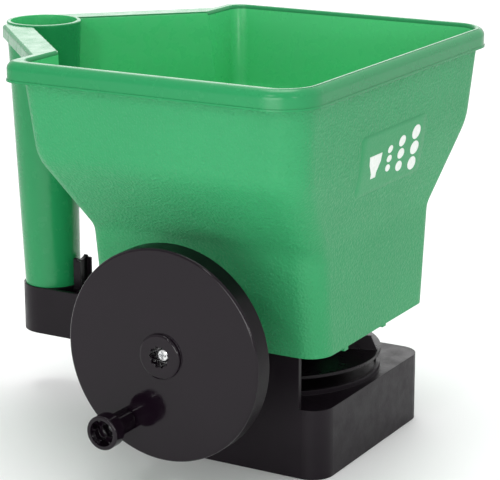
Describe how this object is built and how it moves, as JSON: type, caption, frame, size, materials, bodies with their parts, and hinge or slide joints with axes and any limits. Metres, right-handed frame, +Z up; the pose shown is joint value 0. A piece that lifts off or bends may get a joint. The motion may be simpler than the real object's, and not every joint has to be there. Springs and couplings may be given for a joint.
{
  "type": "garden spreader",
  "caption": "Hand-cranked garden spreader: open green hopper with a hollow handle, on a black base with a spinning disc driven by a side crank.",
  "frame": {"origin": "on the flat underside of the base, under the spinner's axis", "axes": "+Z up along the spinner's axis, -Y out of the front where the grain is thrown, +Y towards the handle, -X towards the crank disc"},
  "size_m": [0.2353, 0.2259, 0.1967],
  "materials": {
    "green_hopper": "fine-textured mid green plastic outside, smooth inside and on the rim",
    "black_base": "satin black plastic",
    "black_disc": "glossy black plastic",
    "black_spinner": "smooth black plastic",
    "grey_gearbox": "dark grey plastic",
    "white_gear": "natural white acetal",
    "white_bush": "natural white acetal",
    "black_seal": "soft black rubber",
    "steel_shaft": "drawn steel",
    "zinc_screw": "zinc-plated steel"
  },
  "bodies": {
    "housing": {"hopper": "green_hopper", "base_housing": "black_base", "base_cover": "black_base", "base_cover_screws": "zinc_screw", "housing_screws": "zinc_screw", "handle_screw": "zinc_screw", "gearbox_front_shell": "grey_gearbox", "gearbox_rear_shell": "grey_gearbox", "gearbox_screws": "zinc_screw", "gate_guide": "black_base", "gate_guide_screws": "zinc_screw", "crank_bush": "white_bush", "spindle_foot_bush": "white_bush", "spindle_seal": "black_seal"},
    "crank": {"crank_disc": "black_disc", "crank_shaft": "steel_shaft", "crank_gear": "white_gear", "crank_gear_clip": "steel_shaft", "crank_screw": "zinc_screw", "crank_screw_washer": "zinc_screw", "knob_screw": "zinc_screw", "knob_washer": "zinc_screw"},
    "knob": {"crank_knob": "black_disc"},
    "spinner": {"spinner": "black_spinner", "spindle": "steel_shaft", "spinner_pinion": "white_gear", "spinner_washer": "white_bush", "agitator": "black_spinner", "agitator_cap": "black_spinner"},
    "gate": {"gate_slide": "black_base", "gate_lever": "black_base", "lever_rivets": "zinc_screw"}
  },
  "joints": [
    {"name": "crank_turn", "type": "hinge", "parent": "housing", "child": "crank", "pos_m": [-0.09, 0, 0.07], "axis": [1, 0, 0], "continuous": true},
    {"name": "knob_turn", "type": "hinge", "parent": "crank", "child": "knob", "pos_m": [-0.115, 0.019, 0.0363], "axis": [1, 0, 0], "continuous": true},
    {"name": "spinner_turn", "type": "hinge", "parent": "housing", "child": "spinner", "pos_m": [0, 0, 0.045], "axis": [0, 0, 1], "continuous": true},
    {"name": "gate_open", "type": "slide", "parent": "housing", "child": "gate", "axis": [0, -1, 0], "range_m": [0, 0.014]}
  ],
  "couplings": [
    {"joint": "spinner_turn", "follows": "crank_turn", "ratio": -3}
  ]
}
